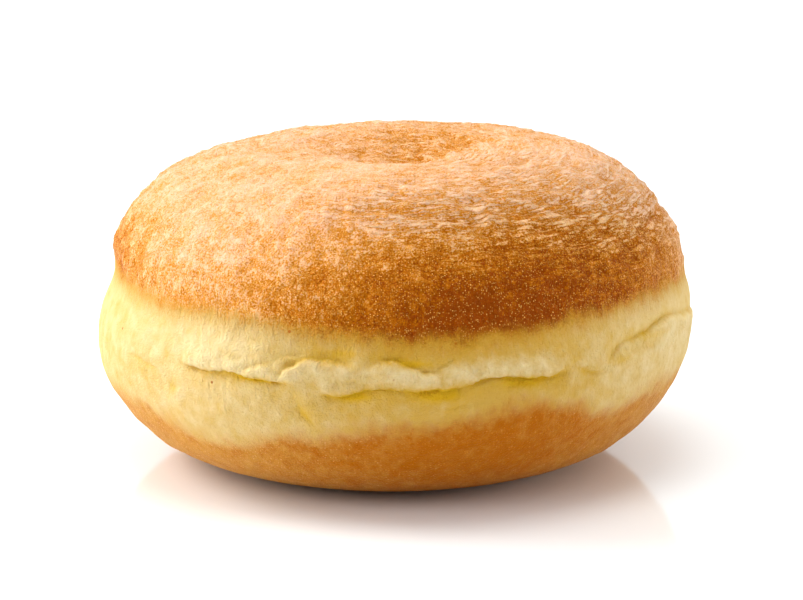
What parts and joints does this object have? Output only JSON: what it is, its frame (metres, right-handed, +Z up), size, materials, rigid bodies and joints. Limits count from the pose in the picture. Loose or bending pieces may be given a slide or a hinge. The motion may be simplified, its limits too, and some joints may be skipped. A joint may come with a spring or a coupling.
{
  "type": "jelly filled doughnut",
  "caption": "Round risen doughnut, fried whole and uncut, browned above and below, with a pale creased band round its side and a shallow hollow in the top.",
  "frame": {"origin": "middle of the box at the height of the flat base, on the surface the doughnut rests on", "axes": "+Z up, through the hollow in the top; -Y is the front, the side with the creases seen first; +X is to the right of it"},
  "size_m": [0.0924, 0.093, 0.0487],
  "materials": {
    "dough": "fried risen dough: golden brown crust above and below, soft pale yellow band round the side"
  },
  "bodies": {
    "root": {"doughnut": "dough"}
  },
  "joints": []
}
